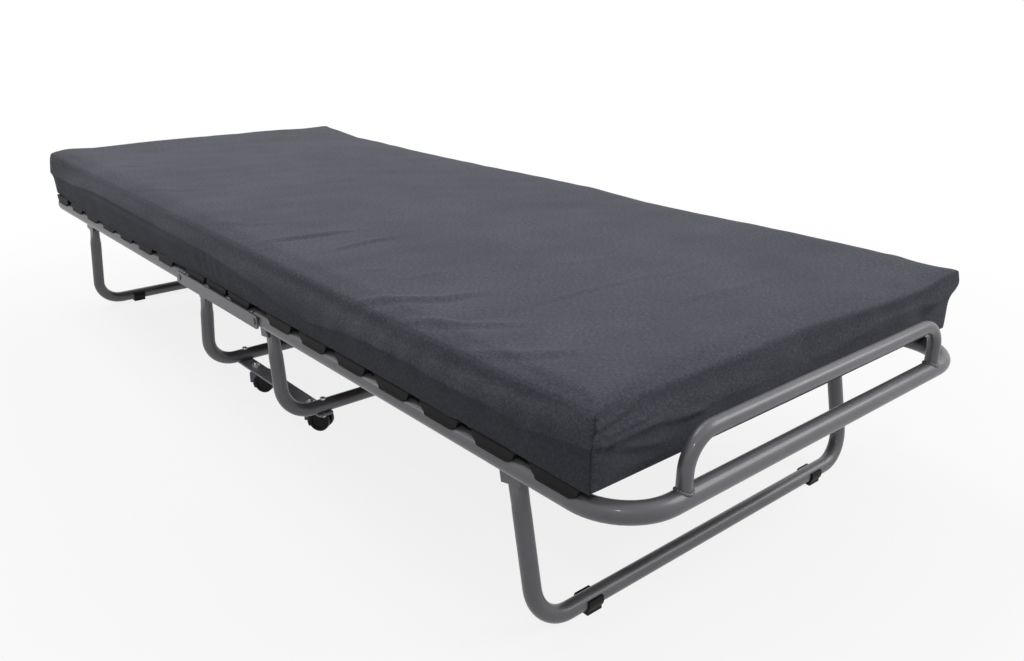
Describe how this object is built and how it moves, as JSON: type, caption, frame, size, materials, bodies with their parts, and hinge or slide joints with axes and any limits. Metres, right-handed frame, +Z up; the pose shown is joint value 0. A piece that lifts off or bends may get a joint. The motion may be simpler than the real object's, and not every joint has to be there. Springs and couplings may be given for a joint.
{
  "type": "folding bed",
  "caption": "Single folding guest bed on casters: tubular steel frame with slats and a foam mattress, and two halves that hinge upward from a wheeled centre section.",
  "frame": {"origin": "on the floor, below the middle of the bed", "axes": "+X along the bed towards the foot end that carries the handle, Y across the bed, +Z up"},
  "size_m": [2.008, 0.8106, 0.38],
  "materials": {
    "frame_steel": "satin",
    "zinc_steel": "satin",
    "slat_plywood": "satin",
    "slat_holder": "matte",
    "glide_plastic": "matte",
    "caster_hood": "matte",
    "caster_wheel": "matte",
    "mattress_cover": "matte"
  },
  "bodies": {
    "centre": {"near_centre_tube": "frame_steel", "far_centre_tube": "frame_steel", "near_hinge_plate": "frame_steel", "far_hinge_plate": "frame_steel", "hinge_pins": "zinc_steel", "centre_slat_1": "slat_plywood", "centre_slat_2": "slat_plywood", "centre_slat_3": "slat_plywood", "centre_slat_caps": "slat_holder", "head_centre_leg": "frame_steel", "foot_centre_leg": "frame_steel", "centre_leg_gussets": "frame_steel", "centre_leg_rivets": "zinc_steel", "near_caster_bar": "frame_steel", "far_caster_bar": "frame_steel", "caster_bar_fasteners": "zinc_steel", "caster_stems": "zinc_steel", "mattress_bend_head": "mattress_cover", "mattress_bend_foot": "mattress_cover"},
    "head_half": {"head_frame_tube": "frame_steel", "head_slat_1": "slat_plywood", "head_slat_2": "slat_plywood", "head_slat_3": "slat_plywood", "head_slat_4": "slat_plywood", "head_slat_5": "slat_plywood", "head_slat_6": "slat_plywood", "head_slat_7": "slat_plywood", "head_slat_caps": "slat_holder", "head_leg_brackets": "frame_steel", "head_leg_pins": "zinc_steel", "mattress_head": "mattress_cover"},
    "head_leg": {"head_leg": "frame_steel", "head_leg_glides": "glide_plastic"},
    "foot_half": {"foot_frame_tube": "frame_steel", "foot_slat_1": "slat_plywood", "foot_slat_2": "slat_plywood", "foot_slat_3": "slat_plywood", "foot_slat_4": "slat_plywood", "foot_slat_5": "slat_plywood", "foot_slat_6": "slat_plywood", "foot_slat_7": "slat_plywood", "foot_slat_caps": "slat_holder", "foot_leg_brackets": "frame_steel", "foot_leg_pins": "zinc_steel", "mattress_foot": "mattress_cover", "handle": "frame_steel"},
    "foot_leg": {"foot_leg": "frame_steel", "foot_leg_glides": "glide_plastic"},
    "caster_1": {"caster_hood_1": "caster_hood", "caster_axle_1": "zinc_steel"},
    "caster_wheels_1": {"caster_wheels_1": "caster_wheel"},
    "caster_2": {"caster_hood_2": "caster_hood", "caster_axle_2": "zinc_steel"},
    "caster_wheels_2": {"caster_wheels_2": "caster_wheel"},
    "caster_3": {"caster_hood_3": "caster_hood", "caster_axle_3": "zinc_steel"},
    "caster_wheels_3": {"caster_wheels_3": "caster_wheel"},
    "caster_4": {"caster_hood_4": "caster_hood", "caster_axle_4": "zinc_steel"},
    "caster_wheels_4": {"caster_wheels_4": "caster_wheel"}
  },
  "joints": [
    {"name": "head_fold", "type": "hinge", "parent": "centre", "child": "head_half", "pos_m": [-0.157, 0, 0.254], "axis": [0, 1, 0], "range_deg": [0, 90], "deforming": ["mattress_bend_head"]},
    {"name": "foot_fold", "type": "hinge", "parent": "centre", "child": "foot_half", "pos_m": [0.157, 0, 0.254], "axis": [0, -1, 0], "range_deg": [0, 90], "deforming": ["mattress_bend_foot"]},
    {"name": "head_leg_fold", "type": "hinge", "parent": "head_half", "child": "head_leg", "pos_m": [-0.784, 0, 0.238], "axis": [0, -1, 0], "range_deg": [0, 102]},
    {"name": "foot_leg_fold", "type": "hinge", "parent": "foot_half", "child": "foot_leg", "pos_m": [0.784, 0, 0.238], "axis": [0, 1, 0], "range_deg": [0, 102]},
    {"name": "caster_1_swivel", "type": "hinge", "parent": "centre", "child": "caster_1", "pos_m": [-0.112, -0.285, 0.04], "axis": [0, 0, 1], "continuous": true},
    {"name": "caster_1_roll", "type": "hinge", "parent": "caster_1", "child": "caster_wheels_1", "pos_m": [-0.09562, -0.27353, 0.02], "axis": [-0.5736, 0.8192, 0], "continuous": true},
    {"name": "caster_2_swivel", "type": "hinge", "parent": "centre", "child": "caster_2", "pos_m": [-0.112, 0.285, 0.04], "axis": [0, 0, 1], "continuous": true},
    {"name": "caster_2_roll", "type": "hinge", "parent": "caster_2", "child": "caster_wheels_2", "pos_m": [-0.09562, 0.29647, 0.02], "axis": [-0.5736, 0.8192, 0], "continuous": true},
    {"name": "caster_3_swivel", "type": "hinge", "parent": "centre", "child": "caster_3", "pos_m": [0.112, -0.285, 0.04], "axis": [0, 0, 1], "continuous": true},
    {"name": "caster_3_roll", "type": "hinge", "parent": "caster_3", "child": "caster_wheels_3", "pos_m": [0.12838, -0.27353, 0.02], "axis": [-0.5736, 0.8192, 0], "continuous": true},
    {"name": "caster_4_swivel", "type": "hinge", "parent": "centre", "child": "caster_4", "pos_m": [0.112, 0.285, 0.04], "axis": [0, 0, 1], "continuous": true},
    {"name": "caster_4_roll", "type": "hinge", "parent": "caster_4", "child": "caster_wheels_4", "pos_m": [0.12838, 0.29647, 0.02], "axis": [-0.5736, 0.8192, 0], "continuous": true}
  ]
}
